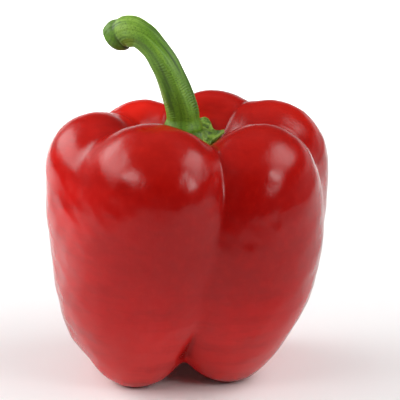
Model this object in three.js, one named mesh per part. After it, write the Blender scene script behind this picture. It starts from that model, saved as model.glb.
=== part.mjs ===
// A bell pepper: the red fruit, the green calyx in its hollow and the curved stem.
// Lengths are millimetres and +Z is up. The fruit is about 88 wide, 80 deep and 86
// high to its crests, 113 with the stem, and stands on four noses at z = 0. The view
// from -Y is the front. Lobes, calyx and stem are placed from the stem's axis, which
// is set off a little so that the origin lies under the middle of the fruit.
import * as THREE from "three";

// Driving dimensions
const STEM_AXIS = { x: -0.4, y: 2.5 };
const GAP = 0.35;
const FRUIT_SIDES = 80;
const FRUIT_RINGS = 48;
const CALYX_SIDES = 48;
const STEM_SIDES = 24;
const STEM_RINGS = 44;

// Each nose is a ball that a lobe ends in. Azimuth is in degrees from +X, reach is
// the distance from the stem's axis, and height is that of the ball's centre.
const NOSES = {
  frontLeft: { azimuth: -140, reach: 21.5, height: 12.1, radius: 12.5 },
  frontRight: { azimuth: -35, reach: 16, height: 13, radius: 13.5 },
  backRight: { azimuth: 40, reach: 21, height: 15.5, radius: 14.5 },
  backLeft: { azimuth: 165, reach: 19.5, height: 19.3, radius: 18 },
};

// Each lobe runs from a shoulder ball under its crest down to its nose. Belly is
// what its radius gains half-way, and spread stretches it round the fruit.
const LOBES = [
  {
    azimuth: -114, reach: 24, crest: 86, shoulder: 19.5, belly: 4, spread: 1.15,
    nose: NOSES.frontLeft,
  },
  {
    azimuth: -33, reach: 25.5, crest: 83.5, shoulder: 17.5, belly: 7.5, spread: 1.15,
    nose: NOSES.frontRight,
  },
  {
    azimuth: 26, reach: 28.5, crest: 83.5, shoulder: 19.5, belly: 4, spread: 0.9,
    nose: NOSES.backRight,
  },
  {
    azimuth: 69, reach: 21.5, crest: 85.5, shoulder: 18, belly: 2, spread: 0.9,
    nose: NOSES.backRight,
  },
  {
    azimuth: 125, reach: 26, crest: 81.5, shoulder: 12.5, belly: 1.5, spread: 1.15,
    nose: NOSES.backLeft,
  },
  {
    azimuth: 175, reach: 28.5, crest: 82.5, shoulder: 15.5, belly: 1.5, spread: 1.25,
    nose: NOSES.backLeft,
  },
];

// The middle of the fruit, where all the lobes have grown together, and the bowl
// pressed into its top round the stem. Both are ellipsoids on the stem's axis.
const MIDDLE = { height: 42.5, radius: 22.5, halfHeight: 32.5 };
const BOWL = { height: 88, radius: 16, depth: 13 };

// How softly neighbouring lobes run together: sharp creases at the top and the
// bottom, and a soft valley between them.
const BLEND = { bottom: 2.4, middle: 4.2, top: 2.1, bowl: 1.5 };
const BLEND_RISE = { from: 7, to: 33 };
const BLEND_FALL = { from: 49, to: 77 };

// Rays that find the fruit's skin start on this ring inside it.
const RAY_RING = { radius: 14, height: 42 };
const RAY_REACH = 75;
const BISECTIONS = 30;
const NEAREST_ROUNDS = 3;
const HOLLOW_PROBE = { from: 60, reach: 40 };

// The calyx: a saucer with a blunt tooth in each valley between two lobes. A tooth
// reaches past the saucer's edge, and its tip curls up off the fruit.
const TEETH = [
  { azimuth: -65, reach: 3.2, curl: 1 },
  { azimuth: -5, reach: 3.2, curl: 2 },
  { azimuth: 50, reach: 2, curl: 0.4 },
  { azimuth: 100, reach: 3, curl: 1 },
  { azimuth: 152, reach: 3.2, curl: 1.6 },
  { azimuth: 214, reach: 2.6, curl: 1 },
];
const CALYX = { radius: 9.6, toothWidth: 20, curlFrom: 0.6, rim: 1.2, thick: 2.4, rib: 0.7 };
const COLLAR = { radius: 6.2, height: 79, flare: 0.7, x: -1.3 };
const UNDER_SHARES = [0.25, 0.5, 0.65, 0.8, 0.9, 1];
const UPPER_SHARES = [0.99, 0.9, 0.78, 0.65, 0.5, 0.37, 0.25, 0.12, 0];

// The stem's centreline from its foot to its cut end, from the stem's axis.
const STEM_LINE = [
  [-1.3, 0, COLLAR.height + GAP],
  [-1.5, 0, 84],
  [-2.8, 0.3, 89],
  [-4.6, 1, 94],
  [-6.9, 2, 99],
  [-10, 4, 103.5],
  [-14, 6.2, 107],
  [-17.8, 8, 107.9],
  [-20.5, 9.5, 106.9],
  [-22.4, 11, 104.7],
];
// The stem's radius at shares of its length: foot, neck, shaft, bend and knuckle.
const STEM_RADII = [
  [0, 6],
  [0.08, 4.9],
  [0.2, 4.8],
  [0.45, 4.5],
  [0.62, 4],
  [0.74, 4.2],
  [0.84, 4.8],
  [0.88, 4.9],
  [0.91, 4.5],
  [0.94, 5.1],
  [0.975, 5.1],
  [1, 4.3],
];
const STEM_RIBS = { count: 6, height: 0.3, turn: 0.9, from: 0.1 };
const CUT_DISH = { radius: 3.2, depth: 0.7 };

const skinRed = new THREE.MeshStandardMaterial({ color: "#b3150c", roughness: 0.22, metalness: 0 });
const calyxGreen = new THREE.MeshStandardMaterial({ color: "#5c7a30", roughness: 0.6, metalness: 0 });
const stemGreen = new THREE.MeshStandardMaterial({ color: "#5f8a33", roughness: 0.5, metalness: 0 });

function clamp(value, low, high) {
  return Math.min(Math.max(value, low), high);
}

function smoothstep(value, from, to) {
  const share = clamp((value - from) / (to - from), 0, 1);
  return share * share * (3 - 2 * share);
}

function mix(a, b, share) {
  return a + (b - a) * share;
}

function polar(azimuth, reach, height) {
  const angle = THREE.MathUtils.degToRad(azimuth);
  return new THREE.Vector3(reach * Math.cos(angle), reach * Math.sin(angle), height);
}

// A lobe with its line and its sideways direction worked out.
function prepareLobe(lobe) {
  const top = polar(lobe.azimuth, lobe.reach, lobe.crest - lobe.shoulder);
  const bottom = polar(lobe.nose.azimuth, lobe.nose.reach, lobe.nose.height);
  const line = bottom.clone().sub(top);
  const length = line.length();
  const middle = top.clone().add(bottom);
  const sideways = new THREE.Vector3(-middle.y, middle.x, 0).normalize();
  return { ...lobe, top, length, sideways, direction: line.divideScalar(length) };
}

const preparedLobes = LOBES.map(prepareLobe);

// The distance from a lobe: the smallest distance from the balls that run along its
// line, whose radius changes evenly plus a belly. The ball that comes nearest is
// found in three rounds from the foot of the perpendicular.
function lobeDistance(lobe, point) {
  const offset = point.clone().sub(lobe.top);
  const along = offset.dot(lobe.direction);
  const away = Math.sqrt(Math.max(offset.lengthSq() - along * along, 0));
  let share = clamp(along / lobe.length, 0, 1);
  for (let round = 0; round < NEAREST_ROUNDS; round += 1) {
    const growth = lobe.nose.radius - lobe.shoulder + 4 * lobe.belly * (1 - 2 * share);
    const slope = growth / lobe.length;
    share = clamp((along + (away * slope) / Math.sqrt(1 - slope * slope)) / lobe.length, 0, 1);
  }
  const across = offset.addScaledVector(lobe.direction, -share * lobe.length);
  const side = across.dot(lobe.sideways);
  const stretched = across.lengthSq() + side * side * (1 / (lobe.spread * lobe.spread) - 1);
  const radius = mix(lobe.shoulder, lobe.nose.radius, share) + 4 * lobe.belly * share * (1 - share);
  return Math.sqrt(Math.max(stretched, 0)) - radius;
}

function ellipsoidDistance(point, height, radius, halfHeight) {
  const share = Math.hypot(point.x / radius, point.y / radius, (point.z - height) / halfHeight);
  return (share - 1) * Math.min(radius, halfHeight);
}

function blendAt(height) {
  const rise = smoothstep(height, BLEND_RISE.from, BLEND_RISE.to);
  const fall = smoothstep(height, BLEND_FALL.from, BLEND_FALL.to);
  return BLEND.bottom + (BLEND.middle - BLEND.bottom) * rise + (BLEND.top - BLEND.middle) * fall;
}

// Below zero inside the fruit: the lobes and the middle in an exponential smooth
// union, with the bowl taken out by a smooth cut.
function fruitDistance(point) {
  const blend = blendAt(point.z);
  let sum = Math.exp(-ellipsoidDistance(point, MIDDLE.height, MIDDLE.radius, MIDDLE.halfHeight) / blend);
  for (const lobe of preparedLobes) {
    sum += Math.exp(-lobeDistance(lobe, point) / blend);
  }
  const body = -blend * Math.log(sum);
  const bowl = -ellipsoidDistance(point, BOWL.height, BOWL.radius, BOWL.depth);
  return BLEND.bowl * Math.log(Math.exp(body / BLEND.bowl) + Math.exp(bowl / BLEND.bowl));
}

// Where a ray from inside leaves the fruit.
function skinPoint(start, direction, reach) {
  let inside = 0;
  let outside = reach;
  for (let step = 0; step < BISECTIONS; step += 1) {
    const half = (inside + outside) / 2;
    if (fruitDistance(start.clone().addScaledVector(direction, half)) < 0) {
      inside = half;
    } else {
      outside = half;
    }
  }
  return start.clone().addScaledVector(direction, inside);
}

const UP = new THREE.Vector3(0, 0, 1);
const DOWN = new THREE.Vector3(0, 0, -1);

// The height of the fruit's top at a place near the stem.
function hollowHeight(x, y) {
  return skinPoint(new THREE.Vector3(x, y, HOLLOW_PROBE.from), UP, HOLLOW_PROBE.reach).z;
}

// One closed solid from rings of points between two poles. The rings run from the
// first pole to the last, and each ring counter-clockwise seen from the last pole.
function ringSolid(firstPole, rings, lastPole) {
  const sides = rings[0].length;
  const points = [firstPole, ...rings.flat(), lastPole];
  const last = points.length - 1;
  const index = [];
  for (let side = 0; side < sides; side += 1) {
    const next = (side + 1) % sides;
    index.push(0, 1 + next, 1 + side);
    for (let ring = 0; ring < rings.length - 1; ring += 1) {
      const low = 1 + ring * sides;
      const high = low + sides;
      index.push(low + side, low + next, high + next);
      index.push(low + side, high + next, high + side);
    }
    index.push(last - sides + side, last - sides + next, last);
  }
  const geometry = new THREE.BufferGeometry().setFromPoints(points);
  geometry.setIndex(index);
  geometry.computeVertexNormals();
  return geometry;
}

// The fruit's skin: rays from the ring inside, swept from straight under it to the
// bowl. Where a nose would reach below the ground it is flat, and rests there.
function fruitGeometry() {
  const centre = new THREE.Vector3(0, 0, RAY_RING.height);
  const bottomPole = skinPoint(centre, DOWN, RAY_REACH);
  const topPole = skinPoint(centre, UP, RAY_REACH);
  const firstAngle = Math.atan2(bottomPole.z - RAY_RING.height, -RAY_RING.radius);
  const lastAngle = Math.atan2(topPole.z - RAY_RING.height, -RAY_RING.radius);
  const rings = [];
  for (let ring = 1; ring < FRUIT_RINGS; ring += 1) {
    const rise = mix(firstAngle, lastAngle, ring / FRUIT_RINGS);
    const points = [];
    for (let side = 0; side < FRUIT_SIDES; side += 1) {
      const turn = (360 * side) / FRUIT_SIDES;
      const start = polar(turn, RAY_RING.radius, RAY_RING.height);
      const point = skinPoint(start, polar(turn, Math.cos(rise), Math.sin(rise)), RAY_REACH);
      point.z = Math.max(point.z, 0);
      points.push(point);
    }
    rings.push(points);
  }
  return ringSolid(bottomPole, rings, topPole);
}

// How far the calyx reaches in a direction, how much its edge curls up there, and
// how much of a rib it has: each tooth adds its part as a bell curve round itself.
function calyxEdge(turn) {
  const edge = { radius: CALYX.radius, curl: 0, rib: 0 };
  for (const tooth of TEETH) {
    const apart = Math.abs(((turn - tooth.azimuth + 540) % 360) - 180);
    const share = Math.exp(-((apart / CALYX.toothWidth) ** 2));
    edge.radius += tooth.reach * share;
    edge.curl += tooth.curl * share;
    edge.rib += CALYX.rib * share;
  }
  return edge;
}

// A place under the calyx, at a share of the way from its middle to its edge: it
// lies over the hollow, and curls up off it towards the edge.
function calyxUnder(share, turn) {
  const edge = calyxEdge(turn);
  const place = polar(turn, share * edge.radius, 0);
  place.x += COLLAR.x;
  place.z = hollowHeight(place.x, place.y) + GAP + edge.curl * smoothstep(share, CALYX.curlFrom, 1);
  return place;
}

// A place on the calyx, at a share of the way from the collar to its edge. The
// saucer thins out towards the edge, and a rib runs along each tooth.
function calyxTop(share, turn) {
  const edge = calyxEdge(turn);
  const place = calyxUnder(mix(COLLAR.radius / edge.radius, 1, share), turn);
  const saucer = place.z + mix(CALYX.thick, CALYX.rim, share) + edge.rib * Math.sin(Math.PI * share);
  place.z = mix(COLLAR.height, saucer, smoothstep(share, 0, COLLAR.flare));
  return place;
}

function calyxRing(share, placeAt) {
  const points = [];
  for (let side = 0; side < CALYX_SIDES; side += 1) {
    points.push(placeAt(share, (360 * side) / CALYX_SIDES));
  }
  return points;
}

function calyxGeometry() {
  const rings = UNDER_SHARES.map((share) => calyxRing(share, calyxUnder));
  rings.push(...UPPER_SHARES.map((share) => calyxRing(share, calyxTop)));
  rings.push(collarRing(COLLAR.radius / 2));
  const under = calyxUnder(0, 0);
  const top = new THREE.Vector3(COLLAR.x, 0, COLLAR.height);
  return ringSolid(under, rings, top);
}

// A ring on the collar's flat top, which carries the stem's foot.
function collarRing(radius) {
  const points = [];
  for (let side = 0; side < CALYX_SIDES; side += 1) {
    const point = polar((360 * side) / CALYX_SIDES, radius, COLLAR.height);
    point.x += COLLAR.x;
    points.push(point);
  }
  return points;
}

// The stem's radius at a share of its length, smoothly between the listed ones.
function stemRadius(share) {
  let index = 1;
  while (index < STEM_RADII.length - 1 && STEM_RADII[index][0] < share) {
    index += 1;
  }
  const [from, before] = STEM_RADII[index - 1];
  const [to, after] = STEM_RADII[index];
  return mix(before, after, smoothstep(share, from, to));
}

// Rings carried along the centreline. Each stands square to it, starting flat on
// the collar, and its ribs turn a little on the way.
function stemGeometry() {
  const places = STEM_LINE.map((place) => new THREE.Vector3(...place));
  const line = new THREE.CatmullRomCurve3(places, false, "centripetal");
  const rings = [];
  for (let ring = 0; ring <= STEM_RINGS; ring += 1) {
    const share = ring / STEM_RINGS;
    rings.push(stemRing(line, share, stemRadius(share), 0));
  }
  rings.push(stemRing(line, 1, CUT_DISH.radius, CUT_DISH.depth));
  const foot = line.getPointAt(0);
  const cut = line.getPointAt(1).addScaledVector(line.getTangentAt(1), -CUT_DISH.depth);
  return ringSolid(foot, rings, cut);
}

function stemRing(line, share, radius, sink) {
  const tangent = share === 0 ? UP.clone() : line.getTangentAt(share);
  const centre = line.getPointAt(share).addScaledVector(tangent, -sink);
  const across = new THREE.Vector3(0, 1, 0);
  across.addScaledVector(tangent, -across.dot(tangent)).normalize();
  const right = across.clone().cross(tangent);
  const points = [];
  for (let side = 0; side < STEM_SIDES; side += 1) {
    const angle = (2 * Math.PI * side) / STEM_SIDES;
    const rib = STEM_RIBS.height * Math.cos(STEM_RIBS.count * (angle + STEM_RIBS.turn * share));
    const width = radius + rib * smoothstep(share, 0, STEM_RIBS.from);
    const point = centre.clone().addScaledVector(right, width * Math.cos(angle));
    points.push(point.addScaledVector(across, width * Math.sin(angle)));
  }
  return points;
}

function namedMesh(name, geometry, material) {
  const mesh = new THREE.Mesh(geometry, material);
  mesh.name = name;
  return mesh;
}

const pepper = new THREE.Group();
pepper.position.set(STEM_AXIS.x, STEM_AXIS.y, 0);
pepper.add(namedMesh("fruit", fruitGeometry(), skinRed));
pepper.add(namedMesh("calyx", calyxGeometry(), calyxGreen));
pepper.add(namedMesh("stem", stemGeometry(), stemGreen));

const part = new THREE.Group();
part.add(pepper);

export default part;
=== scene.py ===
"""A red bell pepper with its calyx and stem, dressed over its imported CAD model.

Every surface is a grid worked out with numpy in millimetres from the stem's axis and put into
a mesh in metres. The named values are those of the solids, with a few lobes moved by a
millimetre or so."""
import math

import bpy
import numpy as np
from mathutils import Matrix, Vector


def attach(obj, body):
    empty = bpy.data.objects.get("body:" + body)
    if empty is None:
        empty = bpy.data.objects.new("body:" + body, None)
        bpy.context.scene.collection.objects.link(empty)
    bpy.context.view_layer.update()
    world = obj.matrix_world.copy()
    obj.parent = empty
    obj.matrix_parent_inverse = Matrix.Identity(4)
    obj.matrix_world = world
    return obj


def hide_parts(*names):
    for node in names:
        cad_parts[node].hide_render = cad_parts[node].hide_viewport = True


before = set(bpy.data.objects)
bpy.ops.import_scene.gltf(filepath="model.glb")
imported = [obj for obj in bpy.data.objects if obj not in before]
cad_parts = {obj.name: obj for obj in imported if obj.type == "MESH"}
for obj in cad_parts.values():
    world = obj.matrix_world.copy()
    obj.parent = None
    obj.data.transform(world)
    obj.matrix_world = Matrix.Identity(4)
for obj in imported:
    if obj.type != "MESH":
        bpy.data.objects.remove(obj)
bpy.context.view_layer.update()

MM = 0.001
SEED = 7

# The fruit, the calyx and the stem are in millimetres and degrees. Azimuth 0 is to the right in
# the picture, and 90 is away from the camera

# Where the stem's axis stands, seen from the origin
STEM_AXIS = np.array([-0.4, 2.5, 0.0])

# Noses: azimuth, reach from the stem's axis, height of the ball's centre, radius
NOSES = {
    "front left": (-140, 21.5, 12.1, 12.5),
    "front right": (-35, 16.0, 13.0, 13.5),
    "back right": (40, 21.0, 15.5, 14.5),
    "back left": (165, 19.5, 19.3, 18.0),
}
# Lobes: azimuth, reach, crest height, shoulder radius, belly, spread, nose
LOBES = {
    "front left": (-114, 24.0, 86.0, 19.5, 5.2, 1.15, "front left"),
    "front right": (-33, 25.5, 83.5, 17.5, 6.6, 1.15, "front right"),
    "right": (26, 28.5, 84.0, 19.5, 4.0, 0.9, "back right"),
    "back": (69, 21.5, 85.5, 18.0, 2.0, 0.9, "back right"),
    "back left": (125, 26.0, 82.0, 12.5, 1.5, 1.15, "back left"),
    "left": (175, 28.5, 82.9, 15.5, 1.5, 1.25, "back left"),
}
# Lobes next to each other, by their place in that list
NEIGHBOURS = [(0, 1), (1, 2), (2, 3), (3, 4), (4, 5)]
# The ellipsoid in the fruit's middle, and the one that the bowl on top is cut with
MIDDLE = {"height": 42.5, "radius": 22.5, "half_height": 32.5}
BOWL = {"height": 88.0, "radius": 16.0, "depth": 13.0}
# How softly the lobes flow into each other at three heights, and the heights between these
BLEND = {"bottom": 2.4, "middle": 4.2, "top": 2.1, "bowl": 1.5}
BLEND_RISE = (7.0, 33.0)
BLEND_FALL = (49.0, 77.0)
# The front left lobe meets the two beside it in its own way, with a softer valley to the left
# lobe and a sharper one to the front right lobe: the neighbour, the share by which the blend
# grows, and the heights over which that rises and falls away
WEBS = [(5, 0.5, (40.0, 58.0), (72.0, 84.0)), (1, -0.66, (0.0, 20.0), (62.0, 84.0))]
# The ring inside the fruit on which the rays that find its skin start, and their length
RAY_RING = {"radius": 14.0, "height": 42.0}
RAY_REACH = 75.0
# Rays straight up that find the hollow round the stem: where they start, and their length
HOLLOW_RAY = {"height": 60.0, "reach": 40.0}
# How often a ray's stretch is halved, and how often the nearest ball of a lobe is worked out
BISECTIONS = 22
NEAREST_ROUNDS = 3

# Creases between neighbouring lobes, sharper than the smooth union leaves them: how deep and
# wide they are, the heights over which they set in, and how much farther off every other lobe is
# where they are at their deepest
CREASE = {"depth": 0.35, "width": 0.9, "heights": (70.0, 80.0), "clear": 3.0}
# The painted shade along those creases, a darker red: how wide it is and the heights over which it sets
# in
CREASE_SHADE = {"width": 1.6, "heights": (62.0, 78.0)}
# The short fold between the two front noses, as seen from the front: its ends' places to the
# right of the stem's axis and their heights, how wide it is there, how deep it would be with a
# sharp bottom, how far that is rounded, and how far in front of the axis it sets in
FOLD = {
    "from": (2.3, 22.0),
    "to": (-0.9, 12.5),
    "widths": (0.8, 1.8),
    "depth": 1.7,
    "round": 1.1,
    "front": (0.0, 10.0),
}
# Waves that make the skin uneven: wavelength and depth
WAVES = [(46.0, 0.1), (31.0, 0.12), (19.0, 0.14), (9.0, 0.1), (5.0, 0.05)]

# Points round each piece, and its rings
FRUIT_GRID = (432, 228)
CALYX_GRID = (288, 80)
STEM_GRID = (144, 360)

# The camera: the picture's width and height in pixels, the focal length in pixels, the height
# on the stem's axis that it aims at, where that point lies in the picture, how high the camera
# stands in degrees and how far away in metres, the sensor's width, and how near and far it sees
PICTURE = 400
CAMERA = {
    "focal_px": 2224.6,
    "height_mm": 41.1,
    "aim_px": (187.6, 244.2),
    "elevation": 18.85,
    "distance": 0.7,
    "sensor_mm": 36.0,
    "clip": (0.05, 50.0),
}
# Half the table top's width, in metres
TABLE_HALF = 6.0
# The studio: how bright it is in front, behind on the left, behind on the right and overhead,
# and what is added low down
STUDIO = {"front": 0.07, "back": 2.3, "back right": 1.6, "overhead": 0.38, "low": 0.08}
# The degrees of azimuth to the right or left of the camera's side, and of elevation, over which
# one part of the studio fades into the next
FADES = {
    "to the right": (60.0, 150.0),
    "to the left": (120.0, 165.0),
    "back right": (0.0, 60.0),
    "up": (-4.0, 12.0),
    "overhead": (25.0, 60.0),
    "low": (-5.0, 24.0),
}
# The place in the fruit's middle round which the lights stand, in metres
LIGHT_AIM = (0.0, 0.0, 0.045)
# Softboxes: name, azimuth from the camera's side, elevation, distance, width and height, power.
# They look at the fruit's middle. The last one looks straight down at the table behind the
# fruit, so it also has the place it looks at and the angle it lights
SOFTBOXES = [
    ("left softbox", -106, 33, 0.7, (1.35, 0.58), 15.0),
    ("right softbox", 90, 46, 0.7, (0.84, 0.6), 9.2),
    ("left lamp", -53, 30, 0.7, (0.46, 0.2), 3.4),
    ("right lamp", 50, 28, 0.7, (0.34, 0.3), 3.9),
    ("floor wash", 180, 38, 0.62, (0.9, 0.3), 3.6, (0.0, 0.489, 0.0), 70),
]
# The share of a softbox's width and height over which it fades to its edge
SOFT_EDGE = 0.4

# The gap between the fruit and the calyx over it
GAP = 0.35
# Calyx teeth: azimuth, reach past the saucer's edge, curl of the tip
TEETH = [
    (-65, 3.2, 1.0), (-5, 3.2, 2.0), (50, 2.0, 0.4),
    (100, 3.0, 1.0), (152, 3.2, 1.6), (214, 2.6, 1.0),
]
# The calyx's saucer: its radius, the half width of a tooth in degrees, where its edge starts to
# curl, how thick it is at the edge and in the middle, how high its ribs are, how many of its
# rings are under it, and the power that crowds those on it towards the edge
CALYX = {
    "radius": 9.6,
    "tooth_width": 20.0,
    "curl_from": 0.6,
    "rim": 1.2,
    "thick": 2.4,
    "rib": 0.7,
    "under_rings": 30,
    "bunching": 0.8,
}
# Knobs on the calyx: wavelength and depth, where they set in, and what they lose at the edge
KNOBS = {
    "waves": [(4.5, 0.5), (2.6, 0.35), (1.4, 0.16)],
    "from": (0.0, 0.3),
    "edge": (0.9, 1.0),
    "lost": 0.6,
}
# The collar round the stem's foot: its radius and height, the share of the saucer over which it
# flares out, its middle's place to the right of the stem's axis, and the radii of its flat
# top's rings
COLLAR = {"radius": 6.2, "height": 79.0, "flare": 0.7, "x": -1.3, "inner": (4.0, 2.0)}

# Places along the middle of the stem, from its foot to the cut
STEM_LINE = [
    (COLLAR["x"], 0.0, COLLAR["height"] + GAP), (-1.5, 0.0, 84.0), (-2.8, 0.3, 89.0), (-4.6, 1.0, 94.0),
    (-6.9, 2.0, 99.0), (-10.0, 4.0, 103.5), (-14.0, 6.2, 107.0), (-17.8, 8.0, 107.9), (-20.5, 9.5, 106.9),
    (-22.4, 11.0, 104.7),
]
STEM_SAMPLES = 60
# The stem's radii at shares of its length
STEM_RADII = [
    (0, 6.0), (0.08, 4.9), (0.2, 4.8), (0.45, 4.5), (0.62, 4.0), (0.74, 4.2),
    (0.84, 4.8), (0.88, 4.9), (0.91, 4.5), (0.94, 5.1), (0.975, 5.1), (1, 4.3),
]
# The stem's ribs: how many, how high, how far they turn along it in radians, and the shares of
# its length over which they set in and die out
STEM_RIBS = {"count": 6, "height": 0.22, "turn": 0.9, "start": (0.0, 0.1), "end": (0.8, 0.9)}
# Furrows between the ribs: how many, how far they turn along the stem, and their height
FURROWS = [(17, 3, 0.03), (29, -5, 0.02)]
# Wrinkles across the lower half: height, spacing, how they bend round the stem (bends, length)
# and the patches they come in (patches, turn along the stem, where the first one is)
WRINKLES = {
    "height": 0.1,
    "spacing": 0.8,
    "bends": (4, 2.0),
    "patches": (3, 9.0, 1.1),
    "start": (0.05, 0.15),
    "end": (0.45, 0.6),
}
# The cut end's shallow dish: the radii and depths of its rings, and how its pattern runs on
CUT_DISH = {"radii": (4.0, 3.2, 1.6), "depths": (0.1, 0.7, 0.7), "along": (1.02, 1.05, 1.07)}
# How deep the stem's foot is sunk into the collar, and how far the pattern runs round one half
# of the stem, before it runs back the same way on the other
FOOT_SINK = 0.6
HALF_GIRTH = 15.0
# Long streaks on the stem: place round it in degrees (0 to the right, 270 towards the camera),
# half width in degrees, where along the stem it starts and ends, and how light (above 0) or dark
# it is
STREAKS = [
    (192, 16, 0.06, 0.76, 1.3), (224, 7, 0.3, 0.9, 0.4), (245, 10, 0.12, 0.8, -0.5),
    (292, 17, 0.05, 0.9, 0.45), (316, 4, 0.4, 0.66, -1.0), (345, 14, 0.1, 0.8, -0.5),
    (32, 16, 0.1, 0.85, 0.5), (74, 12, 0.2, 0.8, -0.7), (115, 18, 0.05, 0.75, 0.5),
    (152, 12, 0.15, 0.85, -0.6),
]
# How a streak sways: degrees round the stem, and bends along it. Then how it fades at its ends
STREAK_SWAY = (5, 9)
STREAK_FADE = 0.08
# The painted highlight on the neck under the knuckle: where it starts and ends, and how it fades towards
# its back
NECK = {"start": (0.7, 0.82), "end": (0.88, 0.92), "least": 0.65, "turn": 0.6}
# The brown under the knuckle: where it is round the stem, half its width, where it sets in, and
# where it covers the whole cut
BROWN = {"middle": 190, "half": 55, "start": (0.8, 0.9), "cut": (1.0, 1.01)}
# The painted shade in the groove behind the knuckle, and the darker end: where, how wide and how dark
GROOVE_SHADE = {"at": 0.905, "width": 0.01, "dark": 0.8}
DARK_END = {"start": (0.97, 1.0), "dark": 0.4}

# Reds of the skin from the noses up, each with the share by which it covers what is under it.
# The paler noses, the back crests, the back left crest and the left flank are painted light; the front
# right, the creases and the fold are painted shade
LIT_NOSE_RED = (0.55, 0.018, 0.015, 1)
REDS = {
    "sides": (1.0, (0.45, 0.0026, 0.002, 1)),
    "shoulders": (1.0, (0.42, 0.0068, 0.0026, 1)),
    "back crests": (1.0, (0.58, 0.01, 0.003, 1)),
    "back left crest": (1.0, (0.86, 0.014, 0.004, 1)),
    "left flank": (0.6, (0.56, 0.006, 0.0035, 1)),
    "front right": (0.85, (0.24, 0.0016, 0.001, 1)),
    "clouds": (0.35, (0.32, 0.0025, 0.0018, 1)),
    "bands": (0.35, (0.22, 0.0014, 0.001, 1)),
    "flecks": (0.1, (0.6, 0.012, 0.004, 1)),
    "creases": (0.35, (0.24, 0.002, 0.0016, 1)),
    "fold": (0.7, (0.22, 0.0014, 0.001, 1)),
}
# Where one red goes over into the next, in metres upwards, to the right and to the back, and
# the share that the front right's loses on the shoulders
RED_HEIGHTS = {
    "sides": (0.0, 0.035),
    "shoulders": (0.055, 0.086),
    "crests": (0.07, 0.078),
    "left flank": (0.03, 0.06),
    "front right": (0.02, 0.05),
    "front right top": (0.066, 0.082),
}
RED_SIDES = {
    "back left crest": (-0.016, 0.0),
    "left flank": (-0.042, -0.016),
    "front right": (-0.044, 0.006),
}
RED_BACK = (0.0, 0.016)
RED_TOP_LOSS = 0.6
# Patterns in the skin: how often they change in a metre to the side, back and up, their detail
# and their roughness
SKIN_PATTERNS = {
    "clouds": ((55.0, 55.0, 55.0), 3.0, 0.5),
    "flecks": ((420.0, 420.0, 420.0), 3.0, 0.6),
    "bands": ((48.0, 48.0, 190.0), 4.0, 0.65),
    "streaks": ((520.0, 520.0, 110.0), 3.0, 0.6),
}
# Greens of the stem and the calyx, and the brown of the knuckle, with their shares
DARK_GREEN = (0.04, 0.095, 0.007, 1)
GREENS = {
    "middle": (1.0, (0.11, 0.24, 0.014, 1)),
    "light": (1.0, (0.21, 0.37, 0.035, 1)),
    "neck": (1.0, (0.25, 0.42, 0.06, 1)),
    "specks": (0.5, (0.05, 0.11, 0.012, 1)),
    # Painted shade: darker where the dashes dent the stem
    "dashes": (0.6, (0.035, 0.08, 0.012, 1)),
    "knuckle": (0.85, (0.07, 0.065, 0.018, 1)),
}
CALYX_GREEN = (0.045, 0.11, 0.008, 1)
CALYX_GREENS = {
    "blotches": (1.0, (0.22, 0.35, 0.045, 1)),
    # Painted shade: darker where the pits dent the calyx
    "pits": (0.8, (0.025, 0.05, 0.006, 1)),
}
# Patterns in the stem, by the millimetre round it and along it, the fibres' last number being
# how far they are bent. Then those in the calyx, by the metre
STEM_PATTERNS = {
    "fibres": ((1.3, 0.06, 1.0), 3.0, 0.6, 0.3),
    "patches": ((0.3, 0.12, 1.0), 3.0, 0.6),
    "dashes": ((1.1, 3.2, 1.0), 2.0, 0.5),
    "specks": ((2.6, 2.0, 1.0), 3.0, 0.7),
}
CALYX_PATTERNS = {
    "blotches": ((300.0, 300.0, 300.0), 3.0, 0.6),
    "pits": ((750.0, 750.0, 750.0), 2.0, 0.5),
}
# The values of a pattern between which a coat sets in, or the gloss gets duller
CONTRASTS = {
    "clouds": (0.35, 0.7),
    "bands": (0.45, 0.68),
    "flecks": (0.45, 0.7),
    "fold": (0.25, 0.7),
    "middle": (-0.9, 0.2),
    "light": (0.1, 1.1),
    "neck": (0.3, 0.6),
    "specks": (0.45, 0.7),
    "dashes": (0.54, 0.66),
    "blotches": (0.35, 0.62),
    "pits": (0.5, 0.68),
    "gloss": (0.3, 0.8),
}
# How much each pattern raises the skin, the stem and the calyx
SKIN_RELIEF = {"clouds": 0.5, "flecks": 0.5, "streaks": 0.8}
STEM_RELIEF = {"fibres": 0.9, "patches": 0.3, "dashes": -0.6}
CALYX_RELIEF = {"blotches": 0.6, "pits": -0.9}
# How much the fibres and patches stir the stem's streaks
STREAK_GRAIN = {"fibres": 2.2, "patches": 1.2}
# Roughness where the gloss is best, and what a pattern adds to it
SKIN_ROUGHNESS = (0.185, 0.05)
STEM_ROUGHNESS = (0.4, 0.12)


def smoothstep(value, low, high):
    """0 below low, 1 above high, and an S-curve between them."""
    share = np.clip((value - low) / (high - low), 0, 1)
    return share * share * (3 - 2 * share)


def mix(a, b, share):
    """a at share 0 and b at share 1, in a straight line."""
    return a + (b - a) * share


def polar(azimuth, reach, height):
    """A point from its azimuth in degrees, its distance from the axis and its height."""
    angle = np.radians(azimuth)
    return np.stack(np.broadcast_arrays(reach * np.cos(angle), reach * np.sin(angle), height), -1)


def turned(a, b):
    """How far two directions in degrees are turned from each other, from 0 to 180."""
    return np.abs((a - b + 540) % 360 - 180)


def waves(points, table, seed):
    """Uneven height: for each wavelength, the sum of three sine waves in random directions
    with random phases, times its depth."""
    draw = np.random.default_rng(seed)
    total = np.zeros(points.shape[:-1])
    for length, depth in table:
        for _ in range(3):
            direction = draw.normal(size=3)
            direction /= np.linalg.norm(direction)
            phase = draw.uniform(0, 2 * math.pi)
            total += depth / 3 * np.sin(points @ direction * (2 * math.pi / length) + phase)
    return total


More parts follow.
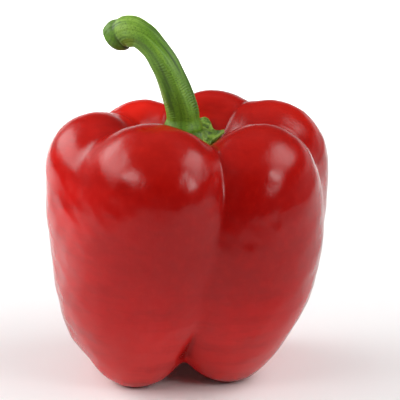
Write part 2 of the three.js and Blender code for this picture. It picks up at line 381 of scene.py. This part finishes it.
class Lobe:
    """One lobe of the fruit: a line of balls from its shoulder to its nose."""

    def __init__(self, azimuth, reach, crest, shoulder, belly, spread, nose):
        nose_azimuth, nose_reach, nose_height, self.nose = NOSES[nose]
        self.top = polar(azimuth, reach, crest - shoulder)
        bottom = polar(nose_azimuth, nose_reach, nose_height)
        self.length = np.linalg.norm(bottom - self.top)
        self.direction = (bottom - self.top) / self.length
        middle = self.top + bottom
        self.sideways = np.array([-middle[1], middle[0], 0]) / np.hypot(middle[0], middle[1])
        self.shoulder, self.belly, self.spread = shoulder, belly, spread

    def distance(self, points):
        """The smallest distance from the balls, whose radius goes evenly from the shoulder's to
        the nose's plus a belly. Three rounds from the foot of the perpendicular find the ball
        that comes nearest."""
        offset = points - self.top
        along = offset @ self.direction
        away = np.sqrt(np.maximum((offset ** 2).sum(-1) - along ** 2, 0))
        share = np.clip(along / self.length, 0, 1)
        for _ in range(NEAREST_ROUNDS):
            slope = (self.nose - self.shoulder + 4 * self.belly * (1 - 2 * share)) / self.length
            share = np.clip((along + away * slope / np.sqrt(1 - slope ** 2)) / self.length, 0, 1)
        across = offset - (share * self.length)[..., None] * self.direction
        side = across @ self.sideways
        stretched = (across ** 2).sum(-1) + side ** 2 * (1 / self.spread ** 2 - 1)
        radius = mix(self.shoulder, self.nose, share) + 4 * self.belly * share * (1 - share)
        return np.sqrt(np.maximum(stretched, 0)) - radius


lobes = [Lobe(*values) for values in LOBES.values()]


def ellipsoid(points, height, radius, half_height):
    """The distance from an ellipsoid on the stem's axis, near enough close to its surface."""
    scaled = (points - (0, 0, height)) / (radius, radius, half_height)
    return (np.linalg.norm(scaled, axis=-1) - 1) * min(radius, half_height)


def fold(points):
    """The short fold between the two front noses: a dent along a line, as seen from the front.
    Its section falls off as an exponential from a rounded bottom, it gets wider downwards, and
    it ends round at both ends."""
    across, up = np.subtract(FOLD["to"], FOLD["from"])
    x = points[..., 0] - FOLD["from"][0]
    z = points[..., 2] - FOLD["from"][1]
    share = np.clip((x * across + z * up) / (across ** 2 + up ** 2), 0, 1)
    away = np.hypot(x - share * across, z - share * up)
    front = smoothstep(-points[..., 1], *FOLD["front"])
    section = np.exp(-np.hypot(away, FOLD["round"]) / mix(*FOLD["widths"], share))
    return FOLD["depth"] * section * front


def joined(a, b, blend):
    """The exponential smooth union of two distances."""
    return -blend * np.logaddexp(-a / blend, -b / blend)


def fruit_distance(points):
    """Below zero inside the fruit: the exponential smooth union of the lobes and the middle,
    which blends in its own way in the two valleys beside the front left lobe. The fold, the
    waves and a groove of bell-curve section wherever two neighbouring lobes are equally near
    are added to it, and the bowl is cut out smoothly."""
    height = points[..., 2]
    blend = mix(BLEND["bottom"], BLEND["middle"], smoothstep(height, *BLEND_RISE))
    blend = mix(blend, BLEND["top"], smoothstep(height, *BLEND_FALL))
    middle = ellipsoid(points, MIDDLE["height"], MIDDLE["radius"], MIDDLE["half_height"])
    near = [lobe.distance(points) for lobe in lobes]
    total = np.exp(-middle / blend)
    for distance in near:
        total = total + np.exp(-distance / blend)
    for neighbour, wider, rise, fall in WEBS:
        wide = blend * (1 + wider * smoothstep(height, *rise) * (1 - smoothstep(height, *fall)))
        for width, sign in ((wide, 1), (blend, -1)):
            total = total + sign * np.exp(-joined(near[0], near[neighbour], width) / blend)
    body = fold(points) + waves(points, WAVES, SEED) - blend * np.log(total)
    upper = smoothstep(height, *CREASE["heights"])
    for a, b in NEIGHBOURS:
        other = np.minimum.reduce([near[i] for i in range(len(near)) if i not in (a, b)])
        clear = smoothstep(other - np.minimum(near[a], near[b]), 0, CREASE["clear"])
        groove = np.exp(-((near[a] - near[b]) / CREASE["width"]) ** 2)
        body = body + CREASE["depth"] * groove * upper * clear
    bowl = -ellipsoid(points, BOWL["height"], BOWL["radius"], BOWL["depth"])
    return BLEND["bowl"] * np.logaddexp(body / BLEND["bowl"], bowl / BLEND["bowl"])


def leave(start, direction, reach):
    """Where rays from inside leave the fruit, by halving the stretch between an inner and an
    outer point."""
    inside = np.zeros(start.shape[:-1])
    outside = np.full(start.shape[:-1], reach)
    for _ in range(BISECTIONS):
        half = (inside + outside) / 2
        within = fruit_distance(start + direction * half[..., None]) < 0
        inside = np.where(within, half, inside)
        outside = np.where(within, outside, half)
    return start + direction * inside[..., None]


def hollow_height(x, y):
    """The height of the fruit's top at places near the stem."""
    start = np.stack(np.broadcast_arrays(x, y, HOLLOW_RAY["height"]), -1)
    upwards = np.broadcast_to((0.0, 0.0, 1.0), start.shape)
    return leave(start, upwards, HOLLOW_RAY["reach"])[..., 2]


def ring_mesh(name, first, rings, last, uv=None):
    """One closed mesh from rings of points between two poles, in millimetres from the stem's
    axis. uv, if given, holds a pair of numbers for each point of the rings."""
    count, sides = rings.shape[:2]
    points = np.concatenate([[first], rings.reshape(-1, 3), [last]])
    points = (points + STEM_AXIS) * MM
    ring, side = np.meshgrid(np.arange(count - 1), np.arange(sides), indexing="ij")
    after = (side + 1) % sides
    here = 1 + ring * sides + side
    beside = 1 + ring * sides + after
    quads = np.stack([here, beside, beside + sides, here + sides], -1).reshape(-1, 4)
    turn = np.arange(sides)
    end = len(points) - 1
    low = np.stack([np.zeros(sides, int), 1 + (turn + 1) % sides, 1 + turn], -1)
    high = np.stack([end - sides + turn, end - sides + (turn + 1) % sides, np.full(sides, end)], -1)
    mesh = bpy.data.meshes.new(name)
    mesh.from_pydata(points.tolist(), [], low.tolist() + quads.tolist() + high.tolist())
    mesh.polygons.foreach_set("use_smooth", np.ones(len(mesh.polygons), bool))
    if uv is not None:
        corners = np.concatenate([[uv[0, 0]], uv.reshape(-1, 2), [uv[-1, 0]]])
        index = np.empty(len(mesh.loops), int)
        mesh.loops.foreach_get("vertex_index", index)
        mesh.uv_layers.new(name="along").data.foreach_set("uv", corners[index].ravel())
    piece = bpy.data.objects.new(name, mesh)
    bpy.context.scene.collection.objects.link(piece)
    return piece


def add_attribute(piece, name, values):
    """A number for each vertex of a piece, for its material to read."""
    layer = piece.data.attributes.new(name, "FLOAT", "POINT")
    layer.data.foreach_set("value", np.asarray(values, np.float32))


def make_fruit():
    """Rays start on a ring inside the fruit and sweep, in each half-plane through the stem's
    axis, from straight under it to the bowl. What would reach below the ground is flat."""
    sides, count = FRUIT_GRID
    centre = np.array([[0, 0, RAY_RING["height"]]], float)
    bottom = leave(centre, np.array([[0, 0, -1.0]]), RAY_REACH)[0]
    top = leave(centre, np.array([[0, 0, 1.0]]), RAY_REACH)[0]
    first = math.atan2(bottom[2] - RAY_RING["height"], -RAY_RING["radius"])
    last = math.atan2(top[2] - RAY_RING["height"], -RAY_RING["radius"])
    rise = mix(first, last, np.arange(1, count) / count)[:, None]
    turn = (360 * np.arange(sides) / sides)[None, :]
    start = polar(turn, RAY_RING["radius"], np.full((count - 1, sides), RAY_RING["height"]))
    points = leave(start, polar(turn, np.cos(rise), np.sin(rise)), RAY_REACH)
    points[..., 2] = np.maximum(points[..., 2], 0)
    piece = ring_mesh("fruit_skin", bottom, points, top)
    near = np.sort(np.stack([lobe.distance(points) for lobe in lobes]), axis=0)
    # Painted shade along the creases near the top, where two lobes are about equally near
    crease_shade = np.exp(-((near[1] - near[0]) / CREASE_SHADE["width"]) ** 2)
    crease_shade = crease_shade * smoothstep(points[..., 2], *CREASE_SHADE["heights"])
    # The fold's depth is also kept for the skin, which paints shade into the fold with it
    for name, values in (("crease_shade", crease_shade), ("fold", fold(points))):
        add_attribute(piece, name, np.concatenate([[0], values.ravel(), [0]]))
    return piece


def calyx_edge(turn):
    """The calyx's radius, the curl of its edge and the height of its ribs in each direction:
    each tooth adds its part as a bell curve round itself."""
    radius, curl, rib = CALYX["radius"] + 0 * turn, 0 * turn, 0 * turn
    for azimuth, reach, tip in TEETH:
        share = np.exp(-((turned(turn, azimuth) / CALYX["tooth_width"]) ** 2))
        radius, curl, rib = radius + reach * share, curl + tip * share, rib + CALYX["rib"] * share
    return radius, curl, rib


def calyx_under(share, turn):
    """Under the calyx, at a share of the way from its middle to its edge: over the hollow,
    and curled up off it towards the edge."""
    radius, curl, _ = calyx_edge(turn)
    place = polar(turn, share * radius, 0.0)
    place[..., 0] += COLLAR["x"]
    lift = GAP + curl * smoothstep(share, CALYX["curl_from"], 1)
    place[..., 2] = hollow_height(place[..., 0], place[..., 1]) + lift
    return place


def calyx_top(share, turn):
    """On the calyx, at a share of the way from the collar to its edge: the saucer thins out
    towards the edge, a rib runs along each tooth, and knobs stand on it all over."""
    radius, _, rib = calyx_edge(turn)
    place = calyx_under(mix(COLLAR["radius"] / radius, 1, share), turn)
    saucer = place[..., 2] + mix(CALYX["thick"], CALYX["rim"], share) + rib * np.sin(math.pi * share)
    place[..., 2] = mix(COLLAR["height"], saucer, smoothstep(share, 0, COLLAR["flare"]))
    knobs = waves(place, KNOBS["waves"], SEED + 1) * smoothstep(share, *KNOBS["from"])
    place[..., 2] += knobs * (1 - KNOBS["lost"] * smoothstep(share, *KNOBS["edge"]))
    return place


def make_calyx():
    """Rings out along the underside, round the edge and back over the top to the collar."""
    sides, count = CALYX_GRID
    turn = (360 * np.arange(sides) / sides)[None, :]
    under_count = CALYX["under_rings"]
    top_count = count - under_count - 1
    out = (np.arange(1, under_count + 1) / under_count)[:, None]
    back = (1 - np.arange(1, top_count + 1) / top_count)[:, None] ** CALYX["bunching"]
    under, top = calyx_under(out, turn), calyx_top(back, turn)
    flat = polar(turn, np.array(COLLAR["inner"])[:, None], COLLAR["height"])
    flat[..., 0] += COLLAR["x"]
    rings = np.concatenate([under, top, flat])
    lowest = calyx_under(np.zeros((1, 1)), np.zeros((1, 1)))[0, 0]
    return ring_mesh("calyx_saucer", lowest, rings, np.array([COLLAR["x"], 0, COLLAR["height"]]))


def centreline(share):
    """Points and directions at shares of the stem's length: a centripetal Catmull-Rom spline
    through its listed places, sampled finely and read off by arc length."""
    places = np.array(STEM_LINE)
    places = np.concatenate([[2 * places[0] - places[1]], places, [2 * places[-1] - places[-2]]])
    knots = np.concatenate([[0], np.cumsum(np.linalg.norm(np.diff(places, axis=0), axis=1) ** 0.5)])
    samples = []
    for i in range(1, len(places) - 2):
        last = i == len(places) - 3
        t = np.linspace(knots[i], knots[i + 1], STEM_SAMPLES, endpoint=last)[:, None]
        k = knots[i - 1:i + 3]
        p = places[i - 1:i + 3]
        a = [((k[j + 1] - t) * p[j] + (t - k[j]) * p[j + 1]) / (k[j + 1] - k[j]) for j in range(3)]
        b = [((k[j + 2] - t) * a[j] + (t - k[j]) * a[j + 1]) / (k[j + 2] - k[j]) for j in range(2)]
        samples.append(((k[2] - t) * b[0] + (t - k[1]) * b[1]) / (k[2] - k[1]))
    points = np.concatenate(samples)
    length = np.concatenate([[0], np.cumsum(np.linalg.norm(np.diff(points, axis=0), axis=1))])
    slope = np.gradient(points, length, axis=0)
    at = np.clip(share, 0, 1) * length[-1]
    place = np.stack([np.interp(at, length, points[:, i]) for i in range(3)], -1)
    way = np.stack([np.interp(at, length, slope[:, i]) for i in range(3)], -1)
    return place, way / np.linalg.norm(way, axis=-1, keepdims=True), length[-1]


def stem_radius(share):
    """The stem's radius at shares of its length: an S-curve between each two listed ones."""
    radius = np.full(share.shape, STEM_RADII[0][1])
    for (low, before), (high, after) in zip(STEM_RADII, STEM_RADII[1:]):
        radius = radius + (after - before) * smoothstep(share, low, high)
    return radius


def stem_rings(share, radius, sink, turn):
    """Rings square to the centreline. Each is a circle with six ribs, which turn a little along
    the stem and die out at the knuckle, fine furrows, and wrinkles across on the lower half."""
    place, way, length = centreline(share)
    way[share <= 0] = (0, 0, 1)
    place = place - way * sink[:, None]
    across = np.array([0, 1.0, 0]) - way[:, 1:2] * way
    across /= np.linalg.norm(across, axis=-1, keepdims=True)
    right = np.cross(across, way)
    along = share[:, None]
    angle = turn + STEM_RIBS["turn"] * along
    relief = STEM_RIBS["height"] * np.cos(STEM_RIBS["count"] * angle)
    relief = relief * (1 - smoothstep(along, *STEM_RIBS["end"]))
    for number, twist, height in FURROWS:
        relief = relief + height * np.sin(number * angle + twist * along)
    lower = smoothstep(along, *WRINKLES["start"]) * (1 - smoothstep(along, *WRINKLES["end"]))
    number, twist, first = WRINKLES["patches"]
    patch = np.maximum(np.sin(number * angle + first + twist * along), 0)
    number, bend = WRINKLES["bends"]
    phase = length * along * 2 * math.pi / WRINKLES["spacing"] + bend * np.sin(number * angle)
    relief = relief + WRINKLES["height"] * np.sin(phase) * patch * lower
    width = radius[:, None] + smoothstep(along, *STEM_RIBS["start"]) * relief
    around = np.cos(turn)[..., None] * right[:, None] + np.sin(turn)[..., None] * across[:, None]
    return place[:, None] + width[..., None] * around


def stem_tones(share, turn):
    """How light or dark the stem's long streaks make it, the painted highlight on the neck before the
    knuckle, brightest on one side, and how brown under and on the knuckle. Each streak is a bell curve
    round the stem whose middle sways along it. The painted shade in the groove behind the knuckle is one
    along the stem."""
    along = share[:, None]
    degrees = np.degrees(turn)
    streak = 0 * along * degrees
    sway, bends = STREAK_SWAY
    for middle, half, start, end, tone in STREAKS:
        apart = turned(degrees + sway * np.sin(bends * along + middle), middle)
        fade_in = smoothstep(along, start - STREAK_FADE, start + STREAK_FADE)
        fade_out = 1 - smoothstep(along, end - STREAK_FADE, end + STREAK_FADE)
        streak = streak + tone * np.exp(-((apart / half) ** 2)) * fade_in * fade_out
    # Painted shade in the groove behind the knuckle
    groove = np.exp(-(((along - GROOVE_SHADE["at"]) / GROOVE_SHADE["width"]) ** 2))
    streak = streak - GROOVE_SHADE["dark"] * groove
    streak = streak - DARK_END["dark"] * smoothstep(along, *DARK_END["start"])
    # Painted highlight on the neck, brightest on one side round it
    neck = smoothstep(along, *NECK["start"]) * (1 - smoothstep(along, *NECK["end"]))
    upper = NECK["least"] + (1 - NECK["least"]) * np.cos(turn + NECK["turn"])
    below = np.exp(-((turned(degrees, BROWN["middle"]) / BROWN["half"]) ** 2))
    brown = below * smoothstep(along, *BROWN["start"]) + smoothstep(along, *BROWN["cut"])
    return streak, neck * upper, np.clip(brown, 0, 1)


def make_stem():
    """Rings from the foot, sunk into the calyx's collar, up along the centreline to the
    knuckle, and over the cut's edge into its shallow dish."""
    sides, count = STEM_GRID
    turn = (2 * math.pi * np.arange(sides) / sides)[None, :]
    share = np.arange(count + 1) / count
    shaft = stem_rings(share, stem_radius(share), 0 * share, turn)
    radii, depths = np.array(CUT_DISH["radii"]), np.array(CUT_DISH["depths"])
    dish = stem_rings(np.ones(len(radii)), radii, depths, turn)
    foot = stem_rings(np.zeros(1), stem_radius(np.zeros(1)), np.array([FOOT_SINK]), turn)
    rings = np.concatenate([foot, shaft, dish])
    place, way, length = centreline(np.array([0.0, 1.0]))
    along = np.concatenate([[0], share, CUT_DISH["along"]]) * length
    around = np.abs((np.arange(sides) / sides * 2 + 1) % 2 - 1) * HALF_GIRTH
    uv = np.stack(np.broadcast_arrays(around[None, :], along[:, None]), -1)
    bottom = place[0] - (0, 0, FOOT_SINK)
    end = place[1] - way[1] * depths[-1]
    piece = ring_mesh("stem_shaft", bottom, rings, end, uv)
    for name, tone in zip(("streak", "neck", "brown"), stem_tones(along / length, turn)):
        values = np.broadcast_to(tone, rings.shape[:2])
        add_attribute(piece, name, np.concatenate([[values[0, 0]], values.ravel(), [values[-1, 0]]]))
    return piece


class Wire:
    """A shader socket that takes part in sums: each operator adds its Math node."""

    def __init__(self, material, socket):
        self.material, self.socket = material, socket

    def math(self, operation, *others):
        inputs = dict(enumerate((self,) + others))
        return self.material.node("ShaderNodeMath", {"operation": operation}, inputs)

    def __add__(self, other):
        return self.math("ADD", other)

    def __mul__(self, other):
        return self.math("MULTIPLY", other)

    def __sub__(self, other):
        return self.math("SUBTRACT", other)

    def __rsub__(self, other):
        return self.material.node("ShaderNodeMath", {"operation": "SUBTRACT"}, {0: other, 1: self})

    __radd__ = __add__
    __rmul__ = __mul__

    def ramp(self, low, high):
        """0 where this is low, 1 where it is high, an S-curve between."""
        settings = {"interpolation_type": "SMOOTHSTEP"}
        inputs = {0: self, 1: low, 2: high, 3: 0.0, 4: 1.0}
        return self.material.node("ShaderNodeMapRange", settings, inputs)


class Finish:
    """A material, world or light in the making. node() is the one way in which its nodes are
    made."""

    def __init__(self, data):
        self.data = data
        self.data.use_nodes = True
        self.tree = self.data.node_tree
        self.tree.nodes.clear()

    def node(self, kind, settings=None, inputs=None, output=0):
        """A node of a kind, with its settings first and then the values or links of its sockets."""
        made = self.tree.nodes.new(kind)
        for name, value in (settings or {}).items():
            setattr(made, name, value)
        for key, value in (inputs or {}).items():
            if isinstance(value, Wire):
                self.tree.links.new(value.socket, made.inputs[key])
            else:
                made.inputs[key].default_value = value
        return None if output is None else Wire(self, made.outputs[output])

    def place(self):
        return self.node("ShaderNodeTexCoord", output="Object")

    def attribute(self, name):
        return self.node("ShaderNodeAttribute", {"attribute_name": name}, output="Fac")

    def uv(self, name):
        return self.node("ShaderNodeUVMap", {"uv_map": name})

    def axes(self, vector, names="XYZ"):
        """The named coordinates of a vector."""
        return [self.node("ShaderNodeSeparateXYZ", None, {0: vector}, output=axis) for axis in names]

    def noise(self, vector, scale, detail, roughness, distortion=0.0):
        """A noise pattern whose three directions are scaled by three numbers."""
        settings = {"vector_type": "POINT"}
        scaled = self.node("ShaderNodeMapping", settings, {"Vector": vector, "Scale": scale})
        inputs = {
            "Vector": scaled,
            "Scale": 1.0,
            "Detail": detail,
            "Roughness": roughness,
            "Distortion": distortion,
        }
        return self.node("ShaderNodeTexNoise", None, inputs)

    def blend(self, share, a, b):
        """Colour a where share is 0 and colour b where it is 1."""
        settings = {"data_type": "RGBA", "blend_type": "MIX"}
        return self.node("ShaderNodeMix", settings, {0: share, 6: a, 7: b}, output=2)

    def coats(self, ground, layers, colours):
        """A colour made of coats over a ground: each layer's name finds its share and its
        colour, and a pattern says where it lies."""
        for name, where in layers:
            share, colour = colours[name]
            ground = self.blend(where * share, ground, colour)
        return ground

    def bump(self, height, strength, distance):
        inputs = {"Height": height, "Strength": strength, "Distance": distance}
        return self.node("ShaderNodeBump", None, inputs)

    def surface(self, **values):
        """The Principled shader with the values or links of its sockets, on the output."""
        inputs = {name.replace("_", " "): value for name, value in values.items()}
        shader = self.node("ShaderNodeBsdfPrincipled", None, inputs, output="BSDF")
        self.node("ShaderNodeOutputMaterial", None, {"Surface": shader}, output=None)
        return self.data


def skin_finish():
    """Waxy red skin with clouds, bands and flecks, and with painted light and shade: paler at the noses
    and brighter on the left flank and the back crests as painted light, deeper on the front right and
    darker in the creases and the fold as painted shade. Its gloss is broken up by a fine unevenness that
    runs up the fruit."""
    finish = Finish(bpy.data.materials.new("waxy red skin"))
    place = finish.place()
    side, back, height = finish.axes(place)
    clouds, flecks, bands, streaks = [finish.noise(place, *look) for look in SKIN_PATTERNS.values()]
    # Painted light: a brighter red on the back crests, and brighter still on the back left one
    crests = height.ramp(*RED_HEIGHTS["crests"]) * back.ramp(*RED_BACK)
    lit_left_crest = crests * (1.0 - side.ramp(*RED_SIDES["back left crest"]))
    # Painted light: a brighter red on the left flank
    left = (1.0 - side.ramp(*RED_SIDES["left flank"])) * height.ramp(*RED_HEIGHTS["left flank"])
    # Painted shade: a deeper red on the front right, with less of it up on the shoulders
    right = side.ramp(*RED_SIDES["front right"]) * height.ramp(*RED_HEIGHTS["front right"])
    right = right * (1.0 - height.ramp(*RED_HEIGHTS["front right top"]) * RED_TOP_LOSS)
    # Coats over the painted light of the noses: painted light on the back crests and the left flank,
    # painted shade on the front right, in the creases and in the fold, and the skin's own clouds, bands
    # and flecks
    layers = [
        ("sides", height.ramp(*RED_HEIGHTS["sides"])),
        ("shoulders", height.ramp(*RED_HEIGHTS["shoulders"])),
        ("back crests", crests),
        ("back left crest", lit_left_crest),
        ("left flank", left),
        ("front right", right),
        ("clouds", clouds.ramp(*CONTRASTS["clouds"])),
        ("bands", bands.ramp(*CONTRASTS["bands"])),
        ("flecks", flecks.ramp(*CONTRASTS["flecks"])),
        ("creases", finish.attribute("crease_shade")),
        ("fold", finish.attribute("fold").ramp(*CONTRASTS["fold"])),
    ]
    relief = clouds * SKIN_RELIEF["clouds"] + flecks * SKIN_RELIEF["flecks"]
    relief = relief + streaks * SKIN_RELIEF["streaks"]
    smooth, rougher = SKIN_ROUGHNESS
    return finish.surface(
        Base_Color=finish.coats(LIT_NOSE_RED, layers, REDS),
        Roughness=flecks.ramp(*CONTRASTS["gloss"]) * rougher + smooth,
        Normal=finish.bump(relief, strength=0.25, distance=0.0004),
        IOR=1.3,
        Subsurface_Weight=0.08,
        Subsurface_Radius=(0.004, 0.0006, 0.0004),
        Subsurface_Scale=1.0,
    )


def stem_finish():
    """Ribbed green stem: long streaks from dark green to yellow-green, a painted highlight on the neck,
    dark specks, dark dashes across as painted shade in the dents they make, and brown under the knuckle
    and on the cut."""
    finish = Finish(bpy.data.materials.new("ribbed green stem"))
    along = finish.uv("along")
    fibres, patches, dashes, specks = [finish.noise(along, *look) for look in STEM_PATTERNS.values()]
    streak = finish.attribute("streak") + (fibres - 0.5) * STREAK_GRAIN["fibres"]
    streak = streak + (patches - 0.5) * STREAK_GRAIN["patches"]
    layers = [
        ("middle", streak.ramp(*CONTRASTS["middle"])),
        ("light", streak.ramp(*CONTRASTS["light"])),
        ("neck", finish.attribute("neck") * fibres.ramp(*CONTRASTS["neck"])),
        ("specks", specks.ramp(*CONTRASTS["specks"])),
        ("dashes", dashes.ramp(*CONTRASTS["dashes"])),
        ("knuckle", finish.attribute("brown")),
    ]
    relief = fibres * STEM_RELIEF["fibres"] + patches * STEM_RELIEF["patches"]
    relief = relief + dashes * STEM_RELIEF["dashes"]
    smooth, rougher = STEM_ROUGHNESS
    return finish.surface(
        Base_Color=finish.coats(DARK_GREEN, layers, GREENS),
        Roughness=fibres.ramp(*CONTRASTS["gloss"]) * rougher + smooth,
        Normal=finish.bump(relief, strength=0.25, distance=0.0003),
        IOR=1.35,
        Subsurface_Weight=0.05,
        Subsurface_Radius=(0.001, 0.002, 0.0005),
        Subsurface_Scale=1.0,
    )


def calyx_finish():
    """Knobbly green calyx: mottled light and dark green, and darker in the pits as painted shade in those
    dents.
    """
    finish = Finish(bpy.data.materials.new("knobbly green calyx"))
    place = finish.place()
    blotches, pits = [finish.noise(place, *look) for look in CALYX_PATTERNS.values()]
    layers = [
        ("blotches", blotches.ramp(*CONTRASTS["blotches"])),
        ("pits", pits.ramp(*CONTRASTS["pits"])),
    ]
    relief = blotches * CALYX_RELIEF["blotches"] + pits * CALYX_RELIEF["pits"]
    return finish.surface(
        Base_Color=finish.coats(CALYX_GREEN, layers, CALYX_GREENS),
        Roughness=0.5,
        Normal=finish.bump(relief, strength=0.6, distance=0.0006),
        IOR=1.35,
    )


def floor_finish():
    """Plain near-white table."""
    finish = Finish(bpy.data.materials.new("plain white table"))
    return finish.surface(Base_Color=(0.9, 0.9, 0.9, 1), Roughness=0.6)


def make_floor():
    """A plain square table top at the height the fruit stands on."""
    half = TABLE_HALF
    corners = [(-half, -half, 0), (half, -half, 0), (half, half, 0), (-half, half, 0)]
    mesh = bpy.data.meshes.new("table_top")
    mesh.from_pydata(corners, [], [(0, 1, 2, 3)])
    mesh.materials.append(floor_finish())
    floor = bpy.data.objects.new("table_top", mesh)
    bpy.context.scene.collection.objects.link(floor)


def toward(azimuth, elevation):
    """A direction in degrees: azimuth 0 is towards the camera's side, and 90 to the right in the
    picture."""
    a, e = math.radians(azimuth), math.radians(elevation)
    return Vector((math.sin(a) * math.cos(e), -math.cos(a) * math.cos(e), math.sin(e)))


def add_softbox(name, azimuth, elevation, distance, size, power, aim=LIGHT_AIM, spread=180):
    """An area light that looks at a place, the middle of the fruit if none is named. It fades
    towards its edge: the brightness is the product of two S-curves, one across it and one up
    it."""
    light = bpy.data.lights.new(name, "AREA")
    light.shape, light.energy = "RECTANGLE", power
    light.size, light.size_y = size
    light.spread = math.radians(spread)
    cloth = Finish(light)
    u, v = cloth.axes(cloth.node("ShaderNodeNewGeometry", output="Parametric"), "XY")
    fade = (0.5 - (u - 0.5).math("ABSOLUTE")).ramp(0.0, SOFT_EDGE)
    fade = fade * (0.5 - (v - 0.5).math("ABSOLUTE")).ramp(0.0, SOFT_EDGE)
    emission = cloth.node("ShaderNodeEmission", None, {"Strength": fade}, output="Emission")
    cloth.node("ShaderNodeOutputLight", None, {"Surface": emission}, output=None)
    lamp = bpy.data.objects.new(name, light)
    lamp.location = Vector(LIGHT_AIM) + toward(azimuth, elevation) * distance
    lamp.rotation_euler = (lamp.location - Vector(aim)).to_track_quat("Z", "Y").to_euler()
    bpy.context.scene.collection.objects.link(lamp)


def add_camera():
    """The camera stands where the photograph's is taken to have stood and looks a little above
    the fruit's middle, which puts the fruit where the photograph has it."""
    camera = bpy.data.cameras.new("camera")
    camera.sensor_width = CAMERA["sensor_mm"]
    camera.lens = camera.sensor_width * CAMERA["focal_px"] / PICTURE
    camera.clip_start, camera.clip_end = CAMERA["clip"]
    stand = bpy.data.objects.new("camera", camera)
    aim = Vector(STEM_AXIS * MM) + Vector((0, 0, CAMERA["height_mm"] * MM))
    stand.location = aim + toward(0, CAMERA["elevation"]) * CAMERA["distance"]
    forward = -toward(0, CAMERA["elevation"])
    upward = Vector((0, -forward.z, forward.y))
    right = Vector((1, 0, 0))
    offset_x = (PICTURE / 2 - CAMERA["aim_px"][0]) / CAMERA["focal_px"]
    offset_y = (CAMERA["aim_px"][1] - PICTURE / 2) / CAMERA["focal_px"]
    look = forward + right * offset_x + upward * offset_y
    stand.rotation_euler = look.to_track_quat("-Z", "Y").to_euler()
    bpy.context.scene.collection.objects.link(stand)
    bpy.context.scene.camera = stand


def add_world():
    """The studio round the fruit: dark in front, white behind near the horizon, dim overhead,
    and a little lighter low down. S-curves of the azimuth and the elevation of the direction
    looked in lead from one to the next."""
    studio = Finish(bpy.data.worlds.new("studio"))
    x, y, z = studio.axes(studio.node("ShaderNodeTexCoord", output="Generated"))
    azimuth = x.math("ARCTAN2", y * -1.0) * (180 / math.pi)
    elevation = z.math("ARCSINE") * (180 / math.pi)
    to_the_left = (azimuth * -1.0).ramp(*FADES["to the left"])
    behind = azimuth.ramp(*FADES["to the right"]).math("MAXIMUM", to_the_left)
    behind = behind * (1.0 - elevation.ramp(*FADES["up"]))
    back = azimuth.ramp(*FADES["back right"]) * (STUDIO["back right"] - STUDIO["back"])
    back = back + STUDIO["back"]
    level = behind * (back - STUDIO["front"]) + STUDIO["front"]
    overhead = elevation.ramp(*FADES["overhead"])
    level = level + overhead * (STUDIO["overhead"] - STUDIO["front"])
    level = level + (1.0 - elevation.ramp(*FADES["low"])) * STUDIO["low"]
    background = studio.node("ShaderNodeBackground", None, {"Strength": level}, output="Background")
    studio.node("ShaderNodeOutputWorld", None, {"Surface": background}, output=None)
    bpy.context.scene.world = studio.data


def dress(piece, finish, node):
    """A finished piece in place of its CAD node."""
    piece.data.materials.append(finish)
    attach(piece, "root")
    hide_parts(node)


dress(make_fruit(), skin_finish(), "fruit")
dress(make_calyx(), calyx_finish(), "calyx")
dress(make_stem(), stem_finish(), "stem")
make_floor()
add_camera()
add_world()
for softbox in SOFTBOXES:
    add_softbox(*softbox)
bpy.context.scene.view_settings.view_transform = "Standard"
